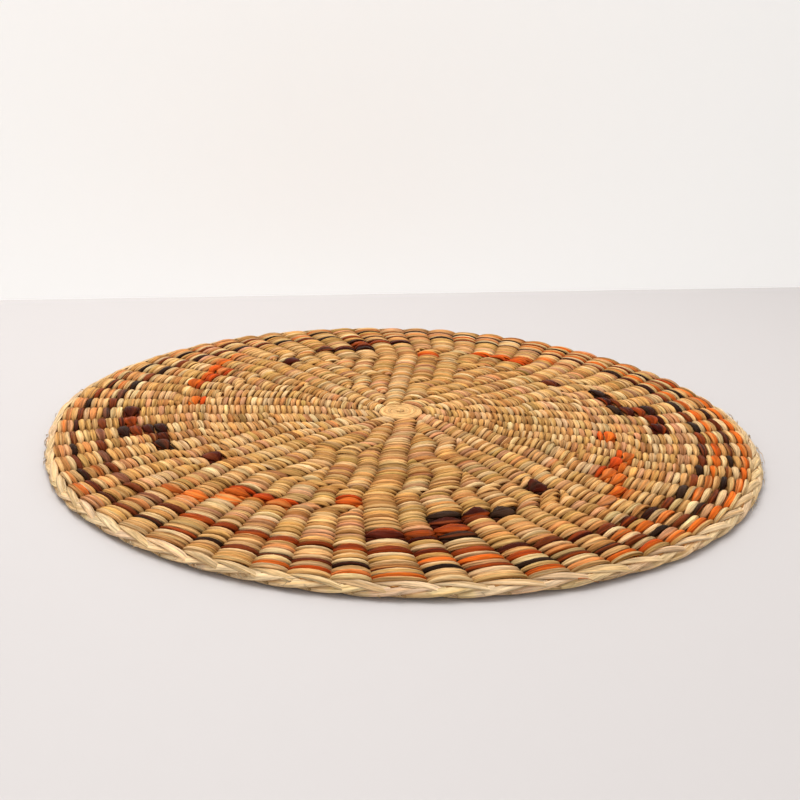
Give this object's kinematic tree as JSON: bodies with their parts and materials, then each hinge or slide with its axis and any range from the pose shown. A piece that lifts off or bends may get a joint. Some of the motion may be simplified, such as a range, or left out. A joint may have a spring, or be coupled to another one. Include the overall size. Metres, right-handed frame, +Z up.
{
  "type": "water hyacinth placemat",
  "caption": "Round ribbed placemat twined from water hyacinth over radial stakes, with dyed stepped blocks, dyed rings and a plaited rim.",
  "frame": {"origin": "centre of the underside, on the surface that the mat lies on", "axes": "+Z up, out of the mat's face; -Y towards the viewer of the picture; +X to the viewer's right"},
  "size_m": [0.3506, 0.3482, 0.0068],
  "materials": {
    "hyacinth_fibre": "dry natural plant fibre, straw coloured, with dyed strands"
  },
  "bodies": {
    "root": {"woven_mat": "hyacinth_fibre"}
  },
  "joints": []
}
